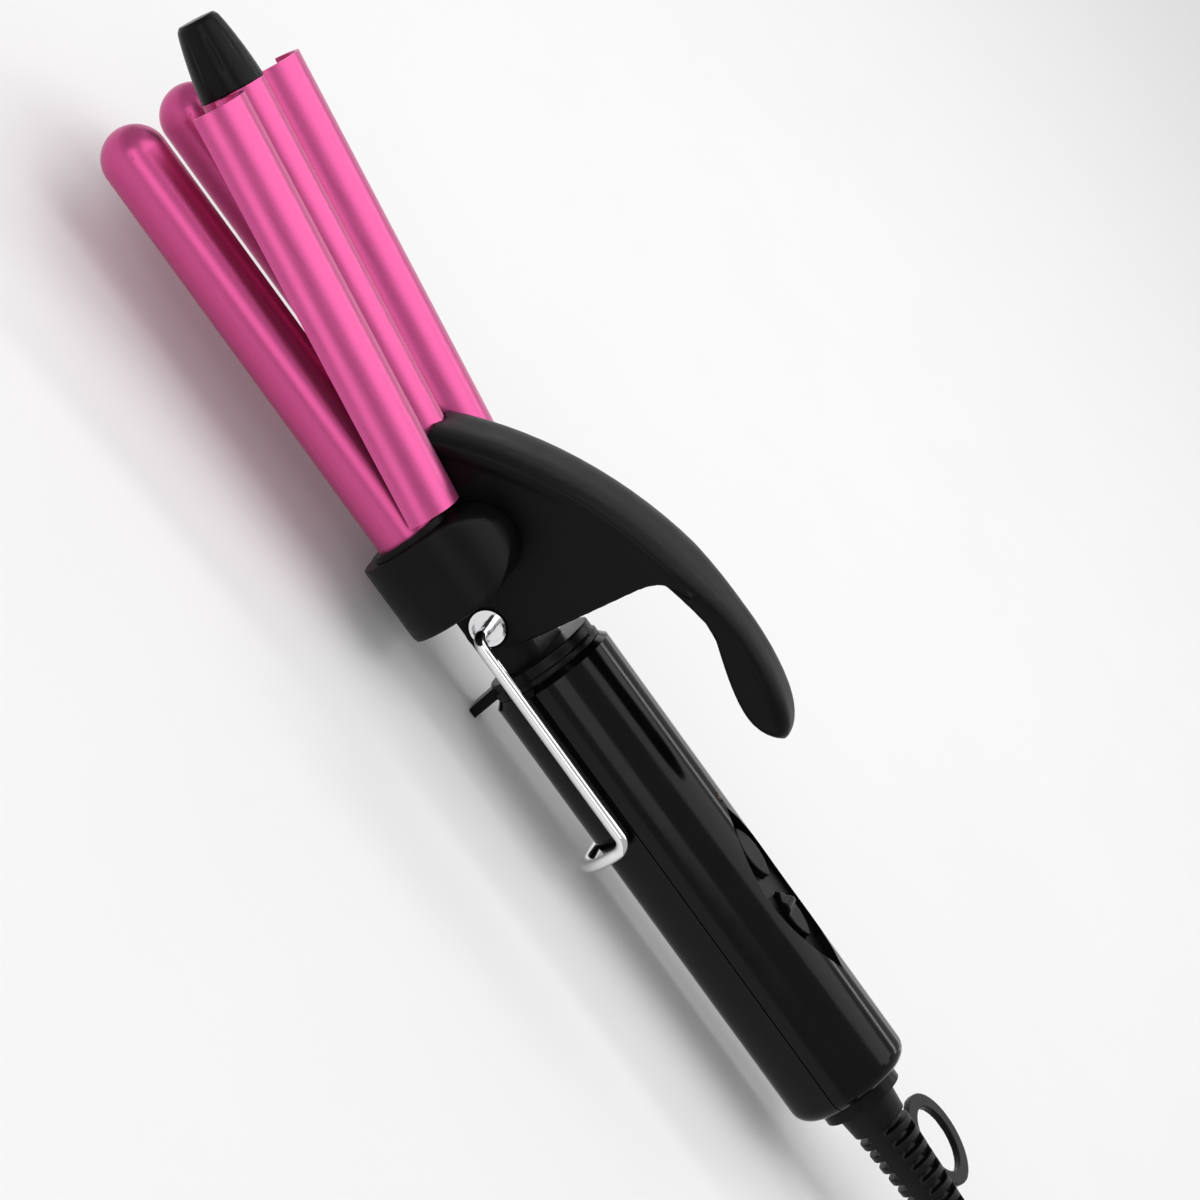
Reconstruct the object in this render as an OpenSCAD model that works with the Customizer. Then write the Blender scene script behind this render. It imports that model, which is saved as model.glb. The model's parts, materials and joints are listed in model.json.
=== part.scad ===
// Hair crimper (waver): two fixed heated barrels stand in a base on a round handle, and a
// sprung clamp with a third barrel and two wing shells closes down between and over them.
// The long axis of the handle runs along X, the barrels point to -X and the lead leaves at +X.
// Most pieces are drawn in the handle's own frame: x = 0 at its front end, z = 0 on its axis.

/* [Handle] */
// Length of the handle shells
handle_len = 126; // [115:1:130]
// Outside diameter of the handle
handle_d = 31.5; // [31:0.5:32.5]
// Wall thickness of the handle shells
wall = 2.4; // [2:0.1:2.6]
// Height of the handle's axis over the foot's sole
axis_h = 21.9; // [21.5:0.1:24]

/* [Barrels] */
// Diameter of the three barrels
barrel_d = 16; // [15:0.5:16]
// Distance between the axes of the two fixed barrels
barrel_pitch = 40; // [39:0.5:41]
// Straight length of a fixed barrel in front of the handle
barrel_reach = 152.3; // [145:0.1:158]
// Wall thickness of the barrels
barrel_wall = 1.5; // [1.2:0.1:1.8]
// Gap for the hair between a barrel and the wing shell round it
hair_gap = 1.1; // [1:0.1:1.3]
// Wall thickness of the wing shells
wing_wall = 1; // [0.8:0.1:1.2]

/* [Clamp] */
// Angle that the clamp stands open in the stored pose
open_deg = 8.7; // [0:0.1:9]
// Distance from the pivot to the far end of the clamp profile
clamp_reach = 137; // [130:1:140]
// Length of the clamp profile
profile_len = 104.4; // [100:0.1:106]
// Length of the cool tip beyond the profile
tip_len = 18; // [14:0.5:22]

/* [Stand and lead] */
// Diameter of the stand's wire
stand_wire_d = 3; // [2.6:0.1:3.2]
// Distance from the stand's pivot to its foot
stand_len = 60; // [50:1:66]
// Diameter of the mains lead
cord_d = 6; // [5.6:0.1:6.2]

/* [Hidden] */

$fn = 64;
eps = 0.01;
running = 0.06;             // radial clearance of a part that turns on another
seat = 0.02;                // clearance of a part that sits in another

handle_r = handle_d / 2;
handle_bore = handle_r - wall;
seam_gap = 0.3;
end_round = 4;
end_bore = 8;

pivot_x = -17;
pivot_z = -2.4;
clamp_plane = 2.4;          // height of the clamp's barrels over the pivot, clamp closed
barrel_z = 0;
barrel_r = barrel_d / 2;
barrel_y = barrel_pitch / 2;
wing_in = barrel_r + hair_gap;
wing_out = wing_in + wing_wall;

base_x0 = -45.5;
base_x1 = -25;
lobe_y = 14.5;
lobe_z = 2;
lobe_r = 17.5;
flange_len = 1.5;
slot_half = 12;
slot_floor = 1.5;
neck_half = 8.3;
neck_low = -9.2;
neck_high = 4.2;
neck_stub_r = 12.2;
tongue_x0 = -32;
tongue_top = -1.1;
wire_y = 5.6;
wire_z = -7.3;

plate_in = 8.6;             // inner face of the lever's side plates, from the middle
plate_out = 10.5;
ear_r = 6;
ear_recess_r = 5.2;         // shallow recess in each ear for the rivet's head
ear_recess = 0.8;
lever_front = -46.4;
lever_low = 5.7;
rivet_r = 4;               // shoulders of the pivot rivet, which the ears turn on
rivet_head_r = 4.5;
rivet_shank_r = 3;
rivet_cup_r = 3.8;
rivet_cup = 1.2;

stand_r = stand_wire_d / 2;
stand_y = 18.8;

panel_x = 75;              // middle of the control panel
panel_len = 48;
panel_w = 15;
panel_top = 12.8;
panel_low = 10.6;
led_x = 48;
button_x = 63.5;
slider_x = 81.5;
slider_travel = 3;
slider_len = 13;
slider_stem = 3;
board_top = 5.6;

flange_x = handle_len + 0.4;
relief_x0 = flange_x + 3.2;
relief_x1 = 180;
ring_x = 152;
ring_y = 13.9;
ring_z = 3;
ring_r = 12.3;
ring_hole_r = 8.6;
ring_t = 1.8;

x_min = pivot_x - (clamp_reach + tip_len) * cos(open_deg) + (clamp_plane - 4.4) * sin(open_deg);
x_off = -(x_min + relief_x1) / 2;

// The route of the lead from the strain relief to the coil: x, y and height over the floor
coil_x = 266;
coil_y = -16;
floor_z = -axis_h;
lead_route = [[180.2, 0, 21.9], [186, 0, 21.9], [192, 0.3, 21.3], [198, 1.1, 19.6],
    [204, 2.6, 17], [210, 4.8, 13.7], [216, 7.6, 10.4], [222, 10.9, 7.6], [228, 14.3, 5.4],
    [234, 17.6, 4.1], [240, 20.7, 3.5], [246, 23.3, 3.4], [252, 25.2, 3.6], [258, 26.2, 3.9],
    [263, 26.5, 4]];
// From the coil's top turn to the plug, measured from the coil's middle on the floor
tail_route = [[3.7, -42.3, 10], [12, -42, 10], [21, -41.6, 9.8], [30, -41, 9.2],
    [41, -38.8, 8], [50.4, -32.6, 7], [56.6, -23.2, 6.8], [58.8, -12.2, 7], [58.8, -7, 7]];
coil_r0 = 21.5;
coil_r1 = 45.5;
coil_lift = 1;
plug_x = 58.8;
plug_y = -7;
plug_z = 7;

// ---- helpers ----

function bez(p, t) = pow(1 - t, 3) * p[0] + 3 * t * pow(1 - t, 2) * p[1]
    + 3 * t * t * (1 - t) * p[2] + pow(t, 3) * p[3];
function unit(v) = v / norm(v);
function arc_pts(cx, cy, r, a0, a1, n) =
    [for (i = [0:n]) [cx + r * cos(a0 + (a1 - a0) * i / n), cy + r * sin(a0 + (a1 - a0) * i / n)]];

// Places a piece of the handle side
module body_frame() translate([x_off, 0, axis_h]) children();

// Places a piece of the clamp, drawn closed with the pivot at the origin
module clamp_frame() body_frame() translate([pivot_x, 0, pivot_z]) rotate([0, open_deg, 0]) children();

// A flat shape in Y and Z, drawn from x0 to x1
module extrude_x(x0, x1) translate([x0, 0, 0]) rotate([90, 0, 90]) linear_extrude(x1 - x0) children();

// A flat shape in X and Z, drawn from y0 to y1
module extrude_y(y0, y1) translate([0, y1, 0]) rotate([90, 0, 0]) linear_extrude(y1 - y0) children();

module rod_x(x0, x1, r) translate([x0, 0, 0]) rotate([0, 90, 0]) cylinder(h = x1 - x0, r = r);
module rod_y(y0, y1, r) translate([0, y0, 0]) rotate([-90, 0, 0]) cylinder(h = y1 - y0, r = r);

// A ring of revolution about X: the outline holds x and radius
module turned_x(pts) rotate([0, 90, 0]) rotate_extrude($fn = 96)
    polygon([for (p = pts) [p[1], p[0]]]);

// A round tube swept along route points, with a level side vector so that it never twists
module sweep(route, r, sides) {
    last = len(route) - 1;
    rings = [for (i = [0:last])
        let (ahead = unit(route[min(i + 1, last)] - route[max(i - 1, 0)]),
            side = unit(cross(abs(ahead[2]) > 0.99 ? [1, 0, 0] : [0, 0, 1], ahead)),
            up = cross(ahead, side))
        [for (k = [0:sides - 1]) route[i] + r * (cos(360 * k / sides) * side + sin(360 * k / sides) * up)]];
    skin = [for (i = [0:last - 1]) for (k = [0:sides - 1])
        let (k2 = (k + 1) % sides)
        [i * sides + k, (i + 1) * sides + k, (i + 1) * sides + k2, i * sides + k2]];
    cap0 = [for (k = [0:sides - 1]) k];
    cap1 = [for (k = [0:sides - 1]) last * sides + sides - 1 - k];
    polyhedron([for (ring = rings) for (p = ring) p], concat(skin, [cap0], [cap1]), convexity = 6);
}

// A pointed oval with its long side on X
module oval_2d(length, width) {
    r = (length * length / 4 + width * width / 4) / width;
    intersection() {
        translate([0, r - width / 2]) circle(r, $fn = 180);
        translate([0, width / 2 - r]) circle(r, $fn = 180);
    }
}

// ---- handle ----

// The handle's outside, or its inside when grown by a negative amount
module handle_body(grow) {
    r = handle_r + grow;
    x1 = handle_len + grow;
    c = end_round + grow;
    turned_x(concat([[-grow, 0], [-grow, r - 1.4], [1.4 - grow, r]],
        [for (p = arc_pts(x1 - c, r - c, c, 90, 0, 8)) p], [[x1, 0]]));
}

module handle_ring() difference() {
    handle_body(0);
    handle_body(-wall);
    rod_x(-1, wall + 1, neck_stub_r + 0.2);
    rod_x(handle_len - wall - 1, handle_len + 1, end_bore);
}

module upper_half(z0) translate([-10, -30, z0]) cube([handle_len + 20, 60, 30]);

// Screw pillars that hold the two shells together, and the screw that holds the swivel
pillar_x = [22, 99];
swivel_screw_x = 112.5;
dish_r = 6.4;
module pillars(z0, z1, r) for (x = pillar_x) translate([x, 0, z0]) cylinder(h = z1 - z0, r = r);
module swivel_pillar(z0, z1, r) translate([swivel_screw_x, 0, z0]) cylinder(h = z1 - z0, r = r);

module handle_shell_upper() color("black") body_frame() difference() {
    union() {
        intersection() {
            handle_ring();
            upper_half(seam_gap / 2);
        }
        intersection() {
            handle_body(-0.5);
            translate([panel_x, 0, panel_low]) linear_extrude(10) oval_2d(panel_len + 5, panel_w + 3.4);
        }
        intersection() {
            pillars(seam_gap / 2, handle_r - 1, 3.6);
            handle_body(-1);
        }
    }
    translate([panel_x, 0, panel_low - 1]) linear_extrude(20) oval_2d(panel_len, panel_w);
    translate([led_x, 0, 8]) cylinder(h = 12, r = 1.25);
    pillars(-1, 9, 1.25);
}

module handle_shell_lower() color("black") body_frame() difference() {
    union() {
        difference() {
            handle_ring();
            upper_half(-seam_gap / 2);
        }
        seam_lip(-1.6, -seam_gap / 2, handle_bore + 0.3);
        seam_lip(-0.5, 1.1, handle_bore - 0.05);
        intersection() {
            union() {
                pillars(-handle_r + 1, -seam_gap / 2, 4.1);
                swivel_pillar(-handle_r + 1, -9.65, 3.4);
            }
            handle_body(-1);
        }
    }
    pillars(-20, 1, 1.6);
    pillars(-20, -10.5, 3);
    swivel_pillar(-20, 1, 1.6);
    swivel_pillar(-20, -14.35, dish_r);
}

// Lip that bridges the seam inside the upper shell
module seam_lip(z0, z1, r) intersection() {
    difference() {
        rod_x(12, 102, r);
        rod_x(11, 103, handle_bore - 1.1);
    }
    translate([0, -20, z0]) cube([110, 40, z1 - z0]);
}

module handle_screws() color("silver") body_frame() {
    pillars(-10.5, 7, 1.22);
    pillars(-12.4, -10.5, 2.7);
    swivel_pillar(-14.35, -5.5, 1.22);
    swivel_pillar(-15.6, -14.35, 2.7);
}

// ---- neck, base and barrels ----

fin_half = 3.8;
module fin_2d() polygon([[-3.4, -12], [-0.6, -12], [0.6, floor_z], [-1.9, floor_z]]);

module neck_collar() color([0.05, 0.05, 0.05]) body_frame() difference() {
    union() {
        rod_x(-4.4, 0, 13.8);
        rod_x(-1.6, 0, 14.3);
        extrude_y(-fin_half, fin_half) fin_2d();
    }
    intersection() {
        translate([-6, -neck_half - seat, neck_low - seat])
            cube([8, 2 * neck_half + 2 * seat, neck_high - neck_low + 2 * seat]);
        rod_x(-6, 2, neck_stub_r + seat);
    }
}

module neck_section() translate([-neck_half, neck_low]) square([2 * neck_half, neck_high - neck_low]);

module neck_block() color([0.05, 0.05, 0.05]) body_frame() difference() {
    union() {
        extrude_x(base_x1, -4.4) neck_section();
        extrude_x(-4.5, 5) intersection() {
            neck_section();
            circle(neck_stub_r);
        }
        // Tongue screwed into the base
        translate([tongue_x0, -neck_half, neck_low])
            cube([base_x1 - tongue_x0 + 1, 2 * neck_half, tongue_top - neck_low]);
        // Disc caught inside the handle shells
        rod_x(wall + 1.6, 7, 13.2);
    }
    translate([pivot_x, 0, pivot_z]) {
        rod_y(-20, 20, rivet_shank_r + seat);
        rod_y(-3.6, 3.6, 5.6);
        // Room for the spring's two legs
        translate([0, -3.6, -5.6]) cube([11, 7.2, 3]);
        translate([0, -3.6, 3.4]) cube([9, 7.2, 6]);
    }
    for (s = [-1, 1]) rod_at(tongue_x0 - 1, 10, s * wire_y, wire_z, 1.5);
    base_screw_holes(-15, -4.5, 1.2);
}

module rod_at(x0, x1, y, z, r) translate([0, y, z]) rod_x(x0, x1, r);

// The two screws that hold the neck's tongue in the base
module base_screw_holes(z0, z1, r) for (y = [-2.7, 2.7]) translate([tongue_x0 + 2.8, y, z0])
    cylinder(h = z1 - z0, r = r);

module base_outline(r) {
    for (s = [-1, 1]) translate([s * lobe_y, lobe_z]) circle(r);
    translate([-lobe_y, lobe_z - r]) square([2 * lobe_y, 2 * r]);
}

// The base's side view: a square front, a domed top and a round rear corner
module base_side() {
    r = (base_x1 - base_x0) / 2;
    rear = 5;
    polygon(concat([[base_x0, -16]], [[base_x0, 10]],
        arc_pts(base_x0 + r, lobe_z + lobe_r - r, r, 180, 0, 24),
        arc_pts(base_x1 - rear, lobe_z - lobe_r + rear, rear, 0, -90, 8)));
}

module barrel_base() color([0.04, 0.04, 0.04]) body_frame() difference() {
    intersection() {
        extrude_x(base_x0, base_x1) base_outline(lobe_r);
        extrude_y(-40, 40) base_side();
    }
    // Slot for the lever
    translate([base_x0 - 1, -slot_half, slot_floor]) cube([30, 2 * slot_half, 30]);
    for (s = [-1, 1]) translate([0, s * barrel_y, barrel_z]) {
        rod_x(base_x0 - 1, -34, barrel_r + seat);
        rod_x(-35, -30, 5.5);
    }
    // Cross channel that carries the wires to the neck
    translate([tongue_x0 - 1.5, 0, -5.5]) rod_y(-22, 22, 3.2);
    translate([tongue_x0 - seat, -neck_half - seat, neck_low - seat])
        cube([10, 2 * neck_half + 2 * seat, tongue_top - neck_low + 2 * seat]);
    base_screw_holes(-20, -9, 1.25);
    base_screw_holes(-20, -13.6, 2.4);
}

module base_screws() color("silver") body_frame() {
    base_screw_holes(-13.7, -5, 1.18);
    base_screw_holes(-15, -13.6, 2.3);
}

module base_flange() color([0.06, 0.06, 0.06]) body_frame() difference() {
    extrude_x(base_x0 - flange_len, base_x0) {
        for (s = [-1, 1]) translate([s * barrel_y, barrel_z]) circle(barrel_r + 2);
        translate([-barrel_y, -8]) square([2 * barrel_y, slot_floor + 8]);
    }
    for (s = [-1, 1]) translate([0, s * barrel_y, barrel_z])
        rod_x(base_x0 - flange_len - 1, base_x0 + 1, barrel_r + seat);
}

// One fixed barrel: a tube with a round closed end
module barrel(side) color([0.87, 0.2, 0.48]) body_frame() translate([0, side * barrel_y, barrel_z])
    difference() {
        union() {
            rod_x(-barrel_reach, -34, barrel_r);
            translate([-barrel_reach, 0, 0]) sphere(barrel_r);
        }
        rod_x(-barrel_reach, -33, barrel_r - barrel_wall);
        translate([-barrel_reach, 0, 0]) sphere(barrel_r - barrel_wall);
    }
module barrel_near() barrel(-1);
module barrel_far() barrel(1);

heater_w = 8;
heater_t = 2.4;
heater_margin = 0.02;
// Aluminium halves that press a heater against the inside of its barrel
module heat_spreader(x0, x1) color("silver") difference() {
    rod_x(x0, x1, barrel_r - barrel_wall - 0.05);
    translate([x0 - 1, -heater_w / 2 - heater_margin, -heater_t / 2 - heater_margin])
        cube([x1 - x0 + 2, heater_w + 2 * heater_margin, heater_t + 2 * heater_margin]);
    translate([x0 - 1, -10, -0.25]) cube([x1 - x0 + 2, 20, 0.5]);
}
module heater_strip(x0, x1) color("ivory")
    translate([x0, -heater_w / 2, -heater_t / 2]) cube([x1 - x0, heater_w, heater_t]);

module barrel_bore(side) body_frame() translate([0, side * barrel_y, barrel_z]) children();
module heat_spreader_near() barrel_bore(-1) heat_spreader(-148, -62);
module heat_spreader_far() barrel_bore(1) heat_spreader(-148, -62);
module heater_near() barrel_bore(-1) heater_strip(-146, -60);
module heater_far() barrel_bore(1) heater_strip(-146, -60);
module thermal_fuse() color("silver") barrel_bore(-1) translate([0, 0, 3.2]) rod_x(-58, -47, 1.9);
module thermistor() color("peru") barrel_bore(1) translate([0, 0, 3.2]) {
    rod_x(-58, -53, 1.2);
    translate([-58, 0, 0]) sphere(1.2);
}

// ---- pivot ----

// Shouldered rivet: the neck holds its shank, and a cup in each end takes the stand's wire
module pivot_rivet() color("gainsboro") body_frame() translate([pivot_x, 0, pivot_z]) difference() {
    head = plate_out - 0.1;
    union() {
        rod_y(-neck_half - 0.1, neck_half + 0.1, rivet_shank_r);
        for (s = [-1, 1]) scale_y(s) {
            rod_y(neck_half + 0.1, head, rivet_r);
            rod_y(plate_out - ear_recess + 0.1, head, rivet_head_r);
        }
    }
    for (s = [-1, 1]) scale_y(s) rod_y(head - rivet_cup, 20, rivet_cup_r);
    rod_y(-20, 20, stand_r + running);
}

// Torsion spring round the rivet
module clamp_spring() color("lightsteelblue") body_frame() translate([pivot_x, 0, pivot_z]) {
    turns = 3.5;
    steps = 70;
    r = 4.4;
    half = 2.5;
    coil = [for (i = [0:steps])
        let (a = -90 - 360 * turns * i / steps)
        [r * cos(a), -half + 2 * half * i / steps, r * sin(a)]];
    sweep(concat([[9.5, -half, -r], [4, -half, -r]], coil, [[2.5, half, 5], [5, half, 6.2]]), 0.55, 8);
}

// ---- controls ----

module control_panel() color([0.07, 0.07, 0.07]) body_frame() difference() {
    translate([panel_x, 0, panel_low]) linear_extrude(panel_top - panel_low)
        oval_2d(panel_len - 0.1, panel_w - 0.06);
    translate([button_x, 0, panel_low - 1]) linear_extrude(5) oval_2d(14.6, 8.2);
    slot = slider_travel + slider_stem + 0.6;
    translate([slider_x - slot, -1.6, panel_low - 1]) cube([2 * slot, 3.2, 5]);
}

module power_button() color([0.1, 0.1, 0.1]) body_frame() {
    translate([button_x, 0, panel_low - 0.4]) linear_extrude(4.4) oval_2d(14, 7.7);
    translate([button_x, 0, 9.1]) cylinder(h = 2, r = 2);
}

// A smooth pad with one raised thumb ridge
module heat_slider() color([0.1, 0.1, 0.1]) body_frame() translate([slider_x, 0, 0]) {
    translate([0, 0, panel_top + 0.1]) linear_extrude(1.3) oval_2d(slider_len, 6.8);
    intersection() {
        translate([-2.6, 0, panel_top + 0.9]) rod_y(-4, 4, 1.5);
        translate([0, 0, panel_top + 0.1]) linear_extrude(4) oval_2d(slider_len, 6.8);
    }
    translate([-slider_stem, -1.4, 9.3]) cube([2 * slider_stem, 2.8, 4]);
}

module control_board() color("darkgreen") body_frame() difference() {
    translate([16, -10, board_top - 1.6]) cube([79, 20, 1.6]);
    translate([pillar_x[0], 0, 0]) cylinder(h = 10, r = 3.8);
}

module power_switch() color([0.15, 0.15, 0.15]) body_frame() {
    translate([button_x - 3, -3, board_top]) cube([6, 6, 2]);
    translate([button_x, 0, board_top + 2]) cylinder(h = 0.6, r = 1.5);
}

module heat_switch() color("silver") body_frame()
    translate([slider_x - 7, -4, board_top]) cube([14, 8, 3.2]);

module capacitor() color("goldenrod") body_frame()
    translate([50, -6, board_top - 1.6 - 7]) cube([13, 12, 7]);

module indicator_led() color("red") body_frame() translate([led_x, 0, board_top]) {
    cylinder(h = 9.4, r = 1.2);
    translate([0, 0, 9.4]) sphere(1.2);
}

// Insulated wires from the swivel to the board, and from the board to the barrels
module lead_wires() color("firebrick") body_frame() {
    for (s = [-1, 1]) {
        sweep([[103.1, s * 5.5, 0], [100, s * 6, 1], [95, s * 6, 2.3], [90, s * 6, 3]], 0.9, 8);
        sweep([[36, s * 7, 3], [30, s * 7.5, 0], [27, s * 7.4, -3.6], [22, s * 7, -6.4],
            [16, s * 6, wire_z], [8, s * wire_y, wire_z], [-30, s * wire_y, wire_z]], 0.9, 8);
    }
}

// ---- swivel and strain relief ----

module swivel_socket() color("whitesmoke") body_frame() difference() {
    union() {
        rod_x(103.5, 116, 9.6);
        rod_x(103.5, 106, handle_bore - 0.05);
    }
    rod_x(104.6, 117, 4.4 + running);
    swivel_pillar(-12, -5.2, 1.3);
    for (x = [107, 112.2]) translate([x - 1.5, -1.5, 4]) cube([3, 3, 8]);
}

module contact_brushes() color("goldenrod") body_frame()
    for (x = [107, 112.2]) translate([x - 1.4, -1.4, 4.4 + running]) cube([2.8, 2.8, 3.6]);

module swivel_plug() color([0.05, 0.05, 0.05]) body_frame() difference() {
    union() {
        rod_x(104.8, 116.2, 4.4);
        rod_x(116.2, handle_len - wall - 0.15, 9.2);
        rod_x(handle_len - wall - 0.15, flange_x, end_bore - running);
        rod_x(flange_x, relief_x0, 10.3);
    }
    for (x = [107, 112.2]) difference() {
        rod_x(x - 1.3, x + 1.3, 5);
        rod_x(x - 2, x + 2, 3.5);
    }
}

module slip_rings() color("gold") body_frame() for (x = [107, 112.2]) difference() {
    rod_x(x - 1.3, x + 1.3, 4.4);
    rod_x(x - 2, x + 2, 3.5);
}

rib_pitch = 3.7;
rib_count = 11;
rib_slot = 1.8;
relief_smooth = 6;
// Ribbed sleeve with two long spines, and the flat hanging ring moulded on it
module strain_relief() color([0.07, 0.07, 0.07]) body_frame() difference() {
    union() {
        turned_x([[relief_x0, 0], [relief_x0, 7.75], [relief_x0 + relief_smooth, 7.1],
            [relief_x1 - 2, 4.9], [relief_x1, 4.2], [relief_x1, 0]]);
        translate([ring_x, ring_y, ring_z - ring_t / 2]) cylinder(h = ring_t, r = ring_r);
    }
    translate([ring_x, ring_y, ring_z - ring_t / 2 - eps]) cylinder(h = ring_t + 2 * eps, r = ring_hole_r);
    for (i = [0:rib_count - 1]) let (x = relief_x0 + relief_smooth + 1 + i * rib_pitch)
        translate([x, 0, 0]) for (s = [-1, 1]) difference() {
            translate([0, -8, s > 0 ? 2.1 : -10.1]) cube([rib_slot, slot_length(x, s), 8]);
            rod_x(-1, 3, 4.6 - i * 0.13);
        }
}
// Slots beside the hanging ring stop short of it
function slot_length(x, s) = s > 0 && abs(x + rib_slot / 2 - ring_x) < ring_r - 0.8 ? 9.5 : 16;

// ---- clamp ----

top_line = [[-48.5, 9.6], [-32, 33], [-6, 49.3], [23.4, 54.5]];
paddle_top = [[25.4, 54.85], [35, 56.2], [49.5, 56.4], [53.7, 50.8]];
paddle_low = [[24.6, 47.5], [35, 45.6], [47, 43], [53.4, 49.6]];
bar_t = 6.2;
bar_steps = 18;
paddle_steps = 14;

function normal_at(p, t) =
    let (d = unit(bez(p, min(t + 0.01, 1)) - bez(p, max(t - 0.01, 0)))) [d[1], -d[0]];
function bar_half(x) = x < 4 ? 10.75 : max(7.5, 10.75 - 0.18 * (x - 4));

// Sections of the lever's curved bar: top point, bottom point and half width
bar_sections = concat(
    [for (i = [0:bar_steps - 1]) let (t = i / bar_steps, a = bez(top_line, t))
        [a, a + bar_t * normal_at(top_line, t), bar_half(a[0])]],
    [for (i = [0:paddle_steps]) let (t = i / paddle_steps, a = bez(paddle_top, t),
        b = bez(paddle_low, t), fade = max(0, (t - 0.55) / 0.45))
        [a, b, bar_half(24) * sqrt(1 - 0.86 * fade * fade)]]);

// A section outline, across the bar and down from its top: a crown on top, rounded corners below
crown = 0.7;
function crown_pts(w, drop, a0, a1, n) = let (c = crown * w, side = a0 + a1 > -180 ? 1 : -1)
    [for (i = [0:n]) let (a = a0 + (a1 - a0) * i / n) [side * (w - c) + c * cos(a), drop * (1 + sin(a))]];
function bar_outline(w, h) =
    let (rt = min(3.4, 0.5 * h), rb = min(1.6, 0.4 * h, 0.5 * w))
    concat(crown_pts(w, rt, 0, -90, 6), crown_pts(w, rt, -90, -180, 6),
        arc_pts(rb - w, h - rb, rb, 180, 90, 3), arc_pts(w - rb, h - rb, rb, 90, 0, 3));

module lever_bar() {
    rings = [for (s = bar_sections) let (down = unit(s[1] - s[0]), h = norm(s[1] - s[0]))
        [for (q = bar_outline(s[2], h)) [s[0][0] + down[0] * q[1], q[0], s[0][1] + down[1] * q[1]]]];
    sides = len(rings[0]);
    last = len(rings) - 1;
    skin = [for (i = [0:last - 1]) for (k = [0:sides - 1]) let (k2 = (k + 1) % sides)
        [i * sides + k, (i + 1) * sides + k, (i + 1) * sides + k2, i * sides + k2]];
    polyhedron([for (ring = rings) for (p = ring) p],
        concat(skin, [[for (k = [0:sides - 1]) k]],
            [[for (k = [0:sides - 1]) last * sides + sides - 1 - k]]), convexity = 8);
}

// The lever's side view below the bar, down to a level line
module lever_side(front, low) polygon(concat([[front, low]],
    [for (i = [1:14]) let (t = 0.86 * i / 14) bez(top_line, t) + 3 * normal_at(top_line, t)],
    [[12.8, 48.4], [10.4, 47.1], [8.5, 46], [7.1, 44.4], [6.2, 42.4], [5.7, 40], [5.6, 37.5],
        [6.5, 12], [6.5, low]]));

module clamp_lever() color([0.04, 0.04, 0.04]) clamp_frame() difference() {
    union() {
        lever_bar();
        for (s = [-1, 1]) scale_y(s) {
            // Side plates, from the slot in the base up to the bar
            extrude_y(plate_in, plate_out) {
                lever_side(lever_front, lever_low);
                // Ears on the pivot
                circle(ear_r);
                polygon([[-ear_r, 0], [ear_r, 0], [6.5, 12], [-7.4, lever_low + 0.1]]);
            }
        }
        // Nose that sits on the middle barrel, and the rib that takes the spring
        extrude_y(-plate_out + 0.5, plate_out - 0.5) intersection() {
            lever_side(lever_front, lever_low);
            translate([lever_front, 0]) square([16, 40]);
        }
        extrude_y(-9, 9) translate([3.6, 9.4]) square([2.6, 2.6]);
    }
    rod_y(-20, 20, rivet_r + running);
    for (s = [-1, 1]) scale_y(s) rod_y(plate_out - ear_recess, 20, ear_recess_r);
    translate([0, 0, clamp_plane]) rod_x(-52, -30, barrel_r + seat);
    clamp_screw_row(0, clamp_plane + 11, 1.45);
}

// The two screws that hold the lever on the middle barrel
module clamp_screw_row(z0, z1, r) for (x = [-42.6, -36]) translate([x, 0, z0])
    cylinder(h = z1 - z0, r = r);

// Wing shell: an arc over its barrel from the outer lip to the web at the middle barrel
module wing_2d(s) translate([s * barrel_y, 0]) difference() {
    intersection() {
        circle(wing_out, $fn = 120);
        union() {
            translate([-20, 0]) square([40, 20]);
            polygon([[0, 0], [s * 20, 1], [s * 20, 20], [0, 20]]);
            polygon([[0, 0], [-s * 20, -1.5], [-s * 20, 20], [0, 20]]);
        }
    }
    circle(wing_in, $fn = 120);
    polygon([[0, 0], [s * 20, 1.6], [s * 20, -20], [0, -20]]);
}

module clamp_profile() color([0.9, 0.22, 0.5]) clamp_frame() difference() {
    translate([0, 0, clamp_plane]) extrude_x(-clamp_reach, -clamp_reach + profile_len) {
        difference() {
            union() {
                circle(barrel_r);
                for (s = [-1, 1]) translate([s > 0 ? 7 : -10.6, -0.2]) square([3.6, 2.4]);
            }
            circle(barrel_r - barrel_wall);
            for (s = [-1, 1]) translate([s * barrel_y, 0]) circle(wing_in, $fn = 120);
        }
        for (s = [-1, 1]) wing_2d(s);
    }
    clamp_screw_row(clamp_plane, 20, 1.45);
}

tip_flutes = 8;
// Black tip that stays cool enough to hold
module cool_tip() color([0.05, 0.05, 0.05]) clamp_frame() translate([-clamp_reach, 0, clamp_plane])
    rotate([0, -90, 0]) difference() {
        union() {
            rotate_extrude($fn = 96) polygon(concat([[0, 0], [8, 0]],
                [for (i = [0:10]) let (t = i / 10)
                    [bez([[8, 0], [7.5, 6], [6.6, 12], [5.2, tip_len - 1]], t)[0],
                    bez([[8, 0], [7.5, 6], [6.6, 12], [5.2, tip_len - 1]], t)[1]]],
                [[4.4, tip_len], [0, tip_len]]));
            translate([0, 0, -8]) cylinder(h = 8, r = barrel_r - barrel_wall - seat);
        }
        for (k = [0:tip_flutes - 1]) rotate([0, 0, 360 / tip_flutes * (k + 0.5)])
            translate([8.3, 0, 5]) rotate([0, -9.5, 0]) cylinder(h = tip_len, r = 0.9);
    }

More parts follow.
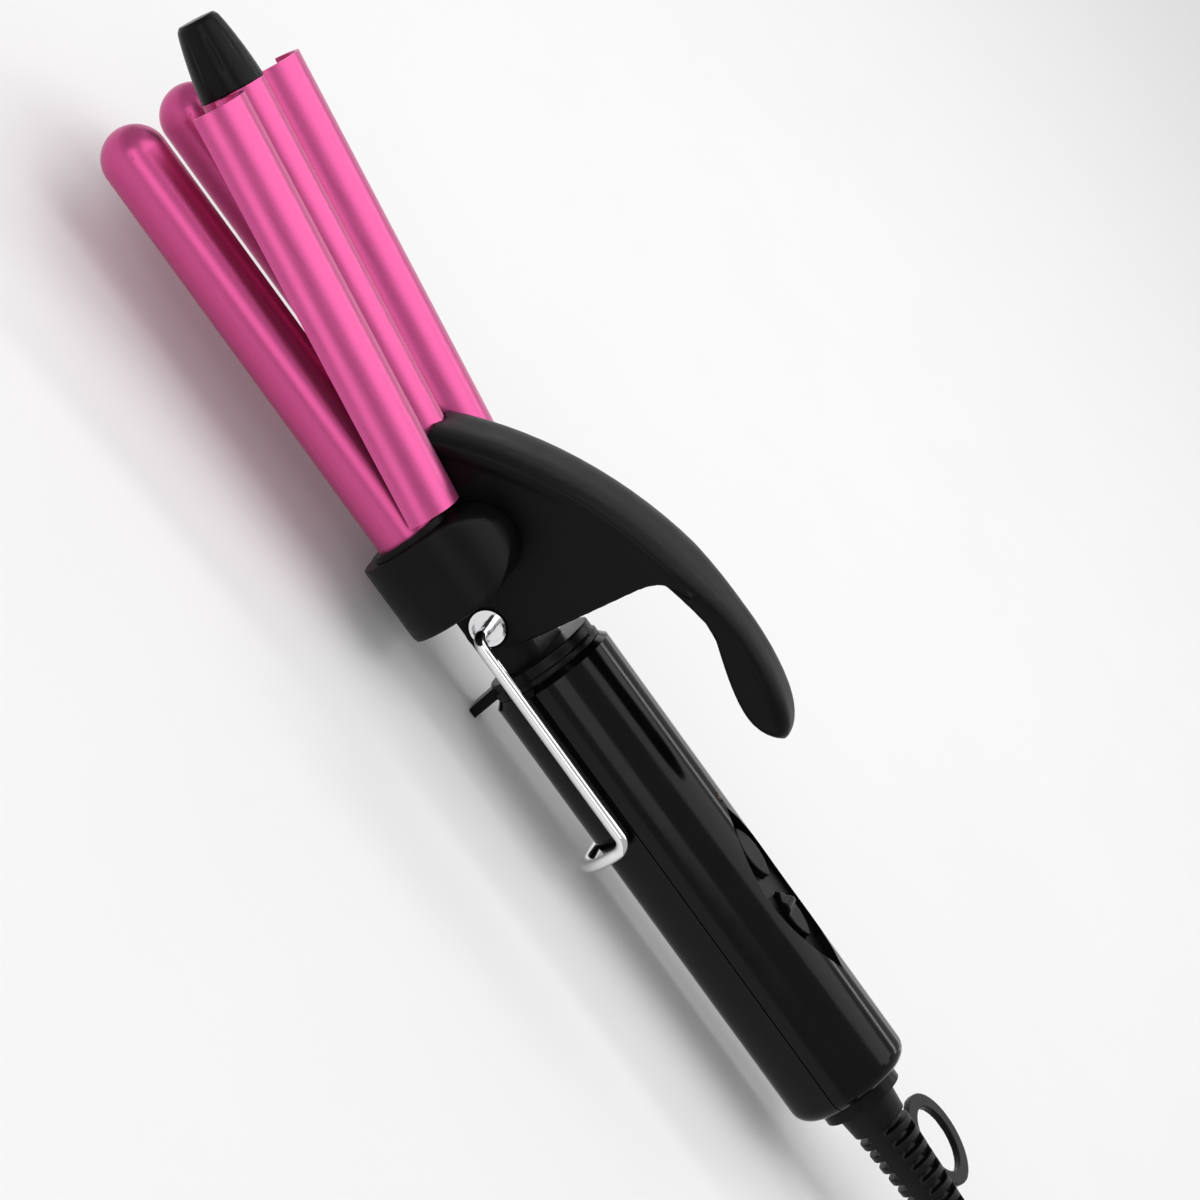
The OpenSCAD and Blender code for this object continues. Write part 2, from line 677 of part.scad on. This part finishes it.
module clamp_bracket() color("silver") clamp_frame() difference() {
    translate([-54, -4, clamp_plane + 2.4]) cube([21, 8, 2.2]);
    clamp_screw_row(0, 20, 1.45);
}

module clamp_screws() color("silver") clamp_frame() {
    clamp_screw_row(clamp_plane + 2.3, clamp_plane + 10.5, 1.4);
    clamp_screw_row(clamp_plane + 0.9, clamp_plane + 2.4, 2.5);
}

module clamp_bore() clamp_frame() translate([0, 0, clamp_plane]) children();
module heat_spreader_clamp() clamp_bore() heat_spreader(-127, -60);
module heater_clamp() clamp_bore() heater_strip(-126, -58);

// ---- stand ----

bend_r = 3;
foot_r = 11;
foot_z = -15.3;             // middle of the foot's wire below the stand's pivot
hook_in = 6.2;
// Bent wire: a hook at each side, two legs beside the handle and a foot under it
module wire_stand() color("silver") body_frame() translate([pivot_x, 0, pivot_z])
    for (s = [-1, 1]) scale_y(s) {
        rod_y(hook_in, stand_y - bend_r, stand_r);
        translate([bend_r, stand_y - bend_r, 0]) rotate([0, 0, 90])
            rotate_extrude(angle = 90) translate([bend_r, 0]) circle(stand_r);
        translate([bend_r, stand_y, 0]) rotate([0, 90, 0])
            cylinder(h = stand_len - 2 * bend_r, r = stand_r);
        translate([stand_len - bend_r, stand_y, -bend_r]) rotate([90, 0, 0])
            rotate_extrude(angle = 90) translate([bend_r, 0]) circle(stand_r);
        translate([stand_len, stand_y, foot_z + foot_r])
            cylinder(h = -foot_z - foot_r - bend_r, r = stand_r);
        translate([stand_len, stand_y - foot_r, foot_z + foot_r]) rotate([90, 0, 90])
            rotate([0, 0, -90]) rotate_extrude(angle = 90) translate([foot_r, 0]) circle(stand_r);
        translate([stand_len, 0, foot_z]) rod_y(0, stand_y - foot_r, stand_r);
    }
module scale_y(s) if (s > 0) children(); else mirror([0, 1, 0]) children();

// ---- mains lead ----

cord_grey = [0.08, 0.08, 0.08];
module on_floor() translate([x_off, 0, 0]) children();
module at_coil() on_floor() translate([coil_x, coil_y, 0]) mirror([0, 1, 0]) children();

module cord_lead() color(cord_grey) on_floor() sweep(lead_route, cord_d / 2, 10);
module cord_tail() color(cord_grey) at_coil() sweep(tail_route, cord_d / 2, 10);
module cord_coil() color(cord_grey) at_coil() translate([0, 0, coil_lift]) rotate_extrude($fn = 96)
    translate([coil_r0, 0]) square([coil_r1 - coil_r0, 2 * cord_d]);

tie_w = 9;
tie_t = 0.9;
module cord_tie() color("dimgray") at_coil() translate([-tie_w / 2, 0, 0]) difference() {
    translate([0, coil_r0 - tie_t, coil_lift - tie_t])
        cube([tie_w, coil_r1 - coil_r0 + 2 * tie_t, 2 * cord_d + 2 * tie_t]);
    translate([tie_w / 2, 0, coil_lift]) rotate_extrude($fn = 96)
        translate([coil_r0, 0]) square([coil_r1 - coil_r0, 2 * cord_d]);
}

// Flat moulded plug with a tapered neck
module mains_plug() color(cord_grey) at_coil() translate([plug_x, plug_y, plug_z]) {
    rotate([-90, 0, 0]) cylinder(h = 14, r1 = 3.6, r2 = 5.6);
    translate([-9, 12, -7]) cube([18, 8, 14]);
    translate([-12.5, 18, -7]) cube([25, 17, 14]);
}

module plug_blades() color("gold") at_coil() translate([plug_x, plug_y + 35, plug_z])
    for (x = [-6.35, 6.35]) translate([x - 0.75, 0, -3.15]) cube([1.5, 17.5, 6.3]);

handle_shell_upper();
handle_shell_lower();
neck_collar();
neck_block();
barrel_base();
base_flange();
barrel_near();
barrel_far();
heat_spreader_near();
heat_spreader_far();
heater_near();
heater_far();
thermal_fuse();
thermistor();
base_screws();
pivot_rivet();
clamp_spring();
control_panel();
control_board();
power_switch();
heat_switch();
capacitor();
indicator_led();
handle_screws();
lead_wires();
swivel_socket();
contact_brushes();
power_button();
heat_slider();
swivel_plug();
slip_rings();
strain_relief();
clamp_lever();
clamp_profile();
cool_tip();
clamp_bracket();
clamp_screws();
heat_spreader_clamp();
heater_clamp();
wire_stand();
cord_lead();
cord_coil();
cord_tail();
cord_tie();
mains_plug();
plug_blades();
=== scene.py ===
import json
import math

import bmesh
import bpy
from mathutils import Matrix, Vector


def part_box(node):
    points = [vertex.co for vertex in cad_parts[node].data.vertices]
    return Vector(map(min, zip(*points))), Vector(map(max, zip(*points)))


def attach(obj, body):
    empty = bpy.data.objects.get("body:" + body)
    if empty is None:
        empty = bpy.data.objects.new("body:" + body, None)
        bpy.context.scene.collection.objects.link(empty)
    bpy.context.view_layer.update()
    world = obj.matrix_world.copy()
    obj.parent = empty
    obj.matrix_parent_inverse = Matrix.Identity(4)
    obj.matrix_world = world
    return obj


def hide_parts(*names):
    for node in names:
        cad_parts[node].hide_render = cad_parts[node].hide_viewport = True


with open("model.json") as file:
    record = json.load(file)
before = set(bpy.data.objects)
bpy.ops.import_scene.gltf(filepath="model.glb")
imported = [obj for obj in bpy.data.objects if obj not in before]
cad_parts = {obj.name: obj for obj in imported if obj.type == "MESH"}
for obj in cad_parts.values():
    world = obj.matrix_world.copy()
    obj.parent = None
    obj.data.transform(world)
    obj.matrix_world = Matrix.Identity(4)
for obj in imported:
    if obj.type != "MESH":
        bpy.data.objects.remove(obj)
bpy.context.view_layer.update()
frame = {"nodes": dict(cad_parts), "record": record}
nodes = frame["nodes"]
record = frame["record"]
MM = 0.001

SLOTS = {part["node"]: part["material_slot"] for part in record["subparts"]}
BODIES = {node: body for body, members in record["behaviour"]["bodies"].items()
          for node in members}

# The handle's own origin: its front end, on its axis
barrel_lo, barrel_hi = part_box("barrel_near")
HANDLE = Vector((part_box("handle_shell_upper")[0].x, 0.0, (barrel_lo.z + barrel_hi.z) / 2))


def at(x, y, z):
    """A point given in millimetres from the handle's origin."""
    return HANDLE + Vector((x, y, z)) * MM


# ---------------------------------------------------------------- camera

# Angles in degrees, place in millimetres from the handle's origin, lens and sensor in millimetres
CAMERA_ELEVATION = 23.5
CAMERA_SWING = 8.6
CAMERA_ROLL = 54.2
CAMERA_PLACE = (-162.56, -943.8, 430.93)
CAMERA_LENS = 133.9
CAMERA_SENSOR = 36
CLIP_START = 0.05


def add_camera():
    """The camera's right-hand side is found from the handle's direction, seen along the view."""
    elevation = math.radians(CAMERA_ELEVATION)
    swing = math.radians(CAMERA_SWING)
    back = Vector((-math.sin(swing), -math.cos(swing) * math.cos(elevation),
                   math.cos(swing) * math.sin(elevation)))
    along = Vector((1, 0, 0)) - back.x * back
    along.normalize()
    across = back.cross(along)
    if across.z < 0:
        across = -across
    roll = math.radians(CAMERA_ROLL)
    right = along * math.cos(roll) + across * math.sin(roll)
    up = across * math.cos(roll) - along * math.sin(roll)
    cam = bpy.data.objects.new("camera", bpy.data.cameras.new("camera"))
    bpy.context.scene.collection.objects.link(cam)
    turn = Matrix((right, up, back)).transposed().to_4x4()
    cam.matrix_world = Matrix.Translation(at(*CAMERA_PLACE)) @ turn
    cam.data.sensor_width = CAMERA_SENSOR
    cam.data.lens = CAMERA_LENS
    cam.data.clip_start = CLIP_START
    bpy.context.scene.camera = cam


# ---------------------------------------------------------------- materials

# Curvature at which a lighter edge, standing for wear and for a painted rim highlight, starts to
# show and at which it shows fully
EDGE_WEAR_AND_HIGHLIGHT_START, EDGE_WEAR_AND_HIGHLIGHT_FULL = 0.57, 0.68
# How much lighter an edge is where wear and the painted rim highlight show
EDGE_WEAR_AND_HIGHLIGHT_GAIN, EDGE_WEAR_AND_HIGHLIGHT_LIFT = 2.2, 0.05
# Part of the noise's range that the roughness runs over
NOISE_LOW, NOISE_HIGH = 0.3, 0.7
# Height of the fine grain in metres
GRAIN_HEIGHT = 0.0001


def node_of(tree, kind, **values):
    n = tree.nodes.new(kind)
    for key, value in values.items():
        setattr(n, key, value)
    return n


def surface(name, colour, other, rough, metallic=0.0, cell=3.0, stretch=(1, 1, 1),
            grain=0.4, bump=0.0, edge_wear_and_highlight=0.0, specular=0.5, sheen=0.0):
    """A material with broad variation of colour and roughness, fine grain and lighter convex
    edges, which stand for wear and for a painted rim highlight.
    cell and grain are the sizes of the broad and the fine noise in millimetres, before
    stretch. rough is the least and the most roughness."""
    mat = bpy.data.materials.new(name)
    mat.use_nodes = True
    tree = mat.node_tree
    shader = tree.nodes["Principled BSDF"]
    shader.inputs["Metallic"].default_value = metallic
    shader.inputs["Specular IOR Level"].default_value = specular
    shader.inputs["Sheen Weight"].default_value = sheen
    place = node_of(tree, "ShaderNodeTexCoord")
    pull = node_of(tree, "ShaderNodeMapping")
    pull.inputs["Scale"].default_value = stretch
    tree.links.new(place.outputs["Object"], pull.inputs["Vector"])
    broad = node_of(tree, "ShaderNodeTexNoise")
    broad.inputs["Scale"].default_value = 1000 / cell
    broad.inputs["Detail"].default_value = 6
    broad.inputs["Roughness"].default_value = 0.6
    tree.links.new(pull.outputs["Vector"], broad.inputs["Vector"])
    fine = node_of(tree, "ShaderNodeTexNoise")
    fine.inputs["Scale"].default_value = 1000 / grain
    fine.inputs["Detail"].default_value = 3
    tree.links.new(pull.outputs["Vector"], fine.inputs["Vector"])
    mix = node_of(tree, "ShaderNodeMix", data_type="RGBA")
    mix.inputs["A"].default_value = (*colour, 1)
    mix.inputs["B"].default_value = (*other, 1)
    tree.links.new(broad.outputs["Fac"], mix.inputs["Factor"])
    paint = mix.outputs["Result"]
    # Painted highlight and wear: convex edges, found from pointiness, are painted lighter
    if edge_wear_and_highlight:
        geo = node_of(tree, "ShaderNodeNewGeometry")
        edge = node_of(tree, "ShaderNodeMapRange")
        edge.inputs["From Min"].default_value = EDGE_WEAR_AND_HIGHLIGHT_START
        edge.inputs["From Max"].default_value = EDGE_WEAR_AND_HIGHLIGHT_FULL
        edge.inputs["To Max"].default_value = edge_wear_and_highlight
        tree.links.new(geo.outputs["Pointiness"], edge.inputs["Value"])
        worn_and_highlit_edge = node_of(tree, "ShaderNodeMix", data_type="RGBA")
        lighter = [min(1.0, c * EDGE_WEAR_AND_HIGHLIGHT_GAIN + EDGE_WEAR_AND_HIGHLIGHT_LIFT) for c in other]
        worn_and_highlit_edge.inputs["B"].default_value = (*lighter, 1)
        tree.links.new(edge.outputs["Result"], worn_and_highlit_edge.inputs["Factor"])
        tree.links.new(paint, worn_and_highlit_edge.inputs["A"])
        paint = worn_and_highlit_edge.outputs["Result"]
    tree.links.new(paint, shader.inputs["Base Color"])
    spread = node_of(tree, "ShaderNodeMapRange")
    spread.inputs["From Min"].default_value = NOISE_LOW
    spread.inputs["From Max"].default_value = NOISE_HIGH
    spread.inputs["To Min"].default_value = rough[0]
    spread.inputs["To Max"].default_value = rough[1]
    tree.links.new(broad.outputs["Fac"], spread.inputs["Value"])
    tree.links.new(spread.outputs["Result"], shader.inputs["Roughness"])
    if bump:
        relief = node_of(tree, "ShaderNodeBump")
        relief.inputs["Strength"].default_value = bump
        relief.inputs["Distance"].default_value = GRAIN_HEIGHT
        tree.links.new(fine.outputs["Fac"], relief.inputs["Height"])
        tree.links.new(relief.outputs["Normal"], shader.inputs["Normal"])
    return mat


# Stretch that draws the noise out into lines along a drawn metal part
DRAWN = (0.02, 1, 1)
PINK = dict(rough=(0.3, 0.37), metallic=0.85, cell=1.2, stretch=DRAWN, grain=0.3, bump=0.015)
LOOKS = {
    "black_gloss": dict(colour=(0.0015, 0.0015, 0.0017), other=(0.003, 0.003, 0.0033),
                        rough=(0.1, 0.17), cell=9, grain=0.5, bump=0.03, specular=0.18),
    "black_satin": dict(colour=(0.002, 0.002, 0.0022), other=(0.0045, 0.0045, 0.0048),
                        rough=(0.26, 0.36), cell=5, grain=0.25, bump=0.14, edge_wear_and_highlight=0.05,
                        specular=0.12),
    "black_matte": dict(colour=(0.0018, 0.0018, 0.002), other=(0.0042, 0.0042, 0.0046),
                        rough=(0.33, 0.43), cell=6, grain=0.2, bump=0.2, edge_wear_and_highlight=0.04,
                        specular=0.11),
    "black_pvc": dict(colour=(0.002, 0.002, 0.002), other=(0.005, 0.005, 0.005),
                      rough=(0.34, 0.46), cell=4, grain=0.2, bump=0.16, edge_wear_and_highlight=0.08,
                      specular=0.16),
    "pink_barrel": dict(colour=(0.53, 0.068, 0.225), other=(0.61, 0.092, 0.275), **PINK),
    # The pink clamp's lighter edges are a painted highlight along its cut rims
    "pink_clamp": dict(colour=(0.55, 0.072, 0.23), other=(0.63, 0.096, 0.28), edge_wear_and_highlight=0.08, **PINK),
    "raw_aluminium": dict(colour=(0.62, 0.62, 0.63), other=(0.78, 0.78, 0.78), rough=(0.3, 0.5),
                          metallic=1.0, stretch=DRAWN, bump=0.2),
    "ceramic": dict(colour=(0.74, 0.68, 0.55), other=(0.84, 0.79, 0.68), rough=(0.5, 0.7),
                    bump=0.3),
    "screw_steel": dict(colour=(0.42, 0.42, 0.43), other=(0.6, 0.6, 0.6), rough=(0.25, 0.4),
                        metallic=1.0, bump=0.1, edge_wear_and_highlight=0.4),
    "spring_steel": dict(colour=(0.32, 0.33, 0.35), other=(0.46, 0.47, 0.48), rough=(0.25, 0.4),
                         metallic=1.0, bump=0.1),
    "bright_chrome": dict(colour=(0.8, 0.8, 0.81), other=(0.92, 0.92, 0.93), rough=(0.05, 0.12),
                          metallic=1.0, cell=6, grain=0.5, bump=0.04),
    "board_green": dict(colour=(0.02, 0.14, 0.05), other=(0.03, 0.22, 0.08), rough=(0.3, 0.45),
                        bump=0.1),
    "capacitor_yellow": dict(colour=(0.62, 0.44, 0.06), other=(0.76, 0.56, 0.1),
                             rough=(0.25, 0.4), bump=0.1),
    "led_lens": dict(colour=(0.02, 0.003, 0.003), other=(0.04, 0.006, 0.005), rough=(0.12, 0.2),
                     bump=0.05),
    "wire_red": dict(colour=(0.4, 0.03, 0.02), other=(0.5, 0.05, 0.04), rough=(0.4, 0.5),
                     bump=0.1),
    "white_plastic": dict(colour=(0.7, 0.7, 0.68), other=(0.8, 0.8, 0.78), rough=(0.4, 0.5),
                          bump=0.1),
    "brass_contact": dict(colour=(0.66, 0.45, 0.16), other=(0.8, 0.58, 0.25), rough=(0.22, 0.36),
                          metallic=1.0, bump=0.08, edge_wear_and_highlight=0.3),
    "tie_plastic": dict(colour=(0.012, 0.012, 0.012), other=(0.024, 0.024, 0.024),
                        rough=(0.6, 0.75), bump=0.4, sheen=0.2),
}
PALE_FLOOR = dict(colour=(0.9, 0.9, 0.9), other=(0.93, 0.93, 0.93), rough=(0.6, 0.7), cell=60,
                  grain=2, bump=0.02)


def make_materials():
    return {name: surface(name, **look) for name, look in LOOKS.items()}


def paint_nodes(materials):
    for node, slot in SLOTS.items():
        mesh = nodes[node].data
        mesh.materials.clear()
        mesh.materials.append(materials[slot])


# ---------------------------------------------------------------- pieces

# Moulded pieces: node, voxel in millimetres, rounds of smoothing
MOULDED = [("barrel_base", 0.5, 6), ("clamp_lever", 0.45, 5), ("neck_block", 0.4, 3),
           ("neck_collar", 0.3, 3), ("strain_relief", 0.25, 3), ("cool_tip", 0.25, 3),
           ("power_button", 0.2, 5), ("heat_slider", 0.2, 4), ("mains_plug", 0.5, 5),
           ("cord_tie", 0.3, 5)]
SMOOTH_FACTOR = 0.5
WELD = 1e-6


def softened(node, materials, voxel, rounds):
    """Copies a moulded CAD piece with its sharp edges rounded off as moulding leaves them."""
    work = bmesh.new()
    work.from_mesh(nodes[node].data)
    bmesh.ops.remove_doubles(work, verts=work.verts, dist=WELD)
    mesh = bpy.data.meshes.new(node + "_moulded")
    work.to_mesh(mesh)
    work.free()
    piece = bpy.data.objects.new(node + "_moulded", mesh)
    bpy.context.scene.collection.objects.link(piece)
    remesh = piece.modifiers.new("voxels", "REMESH")
    remesh.mode = "VOXEL"
    remesh.voxel_size = voxel * MM
    smooth = piece.modifiers.new("rounding", "SMOOTH")
    smooth.factor = SMOOTH_FACTOR
    smooth.iterations = rounds
    graph = bpy.context.evaluated_depsgraph_get()
    final = bpy.data.meshes.new_from_object(piece.evaluated_get(graph))
    piece.modifiers.clear()
    piece.data = final
    bpy.data.meshes.remove(mesh)
    final.materials.clear()
    final.materials.append(materials[SLOTS[node]])
    final.shade_smooth()
    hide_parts(node)
    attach(piece, BODIES[node])
    return piece


# ---------------------------------------------------------------- mains lead

# The lead's ends: x from the handle's front and z over the floor for LEAD, x and y from the
# coil's middle and z over the floor for TAIL, all in millimetres
LEAD = [(180, 0, 21.9), (186, 0, 21.9), (192, 0.3, 21.3), (198, 1.1, 19.6), (204, 2.6, 17),
        (210, 4.8, 13.7), (216, 7.6, 10.4), (222, 10.9, 7.6), (228, 14.3, 5.4), (234, 17.6, 4.1),
        (240, 20.7, 3.5), (246, 23.3, 3.4), (252, 25.2, 3.6), (258, 26.2, 3.9)]
TAIL = [(3.7, -42.3, 10), (12, -42, 10), (21, -41.6, 9.8), (30, -41, 9.2), (41, -38.8, 8),
        (50.4, -32.6, 7), (56.6, -23.2, 6.8), (58.8, -12.2, 7), (58.8, -7, 7)]
COIL_X, COIL_Y = 266, -16
CORD_D = 6
# Coil: radius of its outermost turn, height of its lower layer, angle where it starts, turns,
# points in a turn, and the part of a turn that a step takes
COIL_R = 42.5
COIL_Z = 4
COIL_START = -92.7
COIL_TURNS = 8.021
TURN_POINTS = 36
STEP_ZONE = 0.25
# Curve points between two of LEAD or TAIL
CURVE_POINTS = 2


def floor_point(x, y, z):
    """A point of the lead, in millimetres: x from the handle's front, z over the floor."""
    return Vector((HANDLE.x + x * MM, y * MM, z * MM))


def ease(t):
    """Rises smoothly from 0 to 1 as t does."""
    t = max(0.0, min(1.0, t))
    return t * t * (3 - 2 * t)


def eased(points, per):
    """A smooth curve through the points, in per steps from each one to the next."""
    out = []
    last = len(points) - 1
    for i in range(last):
        p0, p1 = points[max(i - 1, 0)], points[i]
        p2, p3 = points[i + 1], points[min(i + 2, last)]
        for k in range(per):
            t = k / per
            out.append(0.5 * (2 * p1 + (p2 - p0) * t + (2 * p0 - 5 * p1 + 4 * p2 - p3) * t * t
                              + (3 * p1 - p0 - 3 * p2 + p3) * t ** 3))
    return out + [points[last]]


def coil_points():
    """Four turns inward on the floor, a climb, and four turns outward on top of them.
    Each turn steps over to the next one in a zone of a quarter turn. The steps outward, the
    climb and the steps inward have zones of their own, so that no two stretches meet."""
    out = []
    for i in range(1, int(COIL_TURNS * TURN_POINTS)):
        u = i / TURN_POINTS
        inward = sum(ease((u - k) / STEP_ZONE + 1) for k in (1, 2, 3))
        outward = sum(ease((u - k) / STEP_ZONE + 3) for k in (5, 6, 7))
        radius = COIL_R + CORD_D * (outward - inward)
        height = COIL_Z + CORD_D * ease((u - 4) / STEP_ZONE + 2)
        a = math.radians(COIL_START + 360 * u)
        out.append(floor_point(COIL_X + radius * math.cos(a), COIL_Y - radius * math.sin(a),
                               height))
    return out


def add_cord(materials):
    lead = eased([floor_point(*p) for p in LEAD], CURVE_POINTS)
    tail = eased([floor_point(COIL_X + x, COIL_Y - y, z) for x, y, z in TAIL], CURVE_POINTS)
    path = lead + coil_points() + tail
    curve = bpy.data.curves.new("mains_lead", "CURVE")
    curve.dimensions = "3D"
    curve.bevel_depth = CORD_D / 2 * MM
    curve.bevel_resolution = 4
    curve.use_fill_caps = True
    line = curve.splines.new("POLY")
    line.points.add(len(path) - 1)
    for point, place in zip(line.points, path):
        point.co = (*place, 1)
    curve.materials.append(materials["black_pvc"])
    cord = bpy.data.objects.new("mains_lead", curve)
    bpy.context.scene.collection.objects.link(cord)
    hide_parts("cord_lead", "cord_coil", "cord_tail")
    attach(cord, "handle")


# ---------------------------------------------------------------- studio

# Lights: name, place in millimetres from the handle's origin, size in metres, power in watts
LIGHTS = [("overhead", (-60, 60, 1000), (1.4, 0.8), 5.4),
          ("strip", (-60, 720, 700), (1.4, 0.1), 2),
          ("back", (-60, 1700, 330), (2.4, 0.4), 2.6),
          ("front", (-260, -1000, 520), (1.2, 0.5), 3)]
LIGHTS_AIM = (0, 0, 10)
SKY_STRENGTH = 0.46
# Half the floor's side and its depth under the object, in metres
FLOOR_HALF = 6
FLOOR_DEPTH = 0.0002


def add_light(name, place, target, size, power):
    data = bpy.data.lights.new(name, "AREA")
    data.shape = "RECTANGLE"
    data.size, data.size_y = size
    data.energy = power
    light = bpy.data.objects.new(name, data)
    bpy.context.scene.collection.objects.link(light)
    light.location = place
    light.rotation_euler = (target - place).to_track_quat("-Z", "Y").to_euler()


def add_floor():
    mesh = bpy.data.meshes.new("floor")
    side = FLOOR_HALF
    mesh.from_pydata([(-side, -side, 0), (side, -side, 0), (side, side, 0), (-side, side, 0)],
                     [], [(0, 1, 2, 3)])
    floor = bpy.data.objects.new("floor", mesh)
    bpy.context.scene.collection.objects.link(floor)
    floor.data.materials.append(surface("pale_floor", **PALE_FLOOR))
    floor.location.z = -FLOOR_DEPTH


def add_light_and_sky():
    for name, place, size, power in LIGHTS:
        add_light(name, at(*place), at(*LIGHTS_AIM), size, power)
    world = bpy.data.worlds.new("studio")
    world.use_nodes = True
    world.node_tree.nodes["Background"].inputs["Color"].default_value = (1, 1, 1, 1)
    world.node_tree.nodes["Background"].inputs["Strength"].default_value = SKY_STRENGTH
    bpy.context.scene.world = world
    bpy.context.scene.view_settings.view_transform = "Standard"


# ---------------------------------------------------------------- build

add_camera()
materials = make_materials()
paint_nodes(materials)
moulded = {node: softened(node, materials, voxel, rounds) for node, voxel, rounds in MOULDED}
add_cord(materials)
add_floor()
add_light_and_sky()
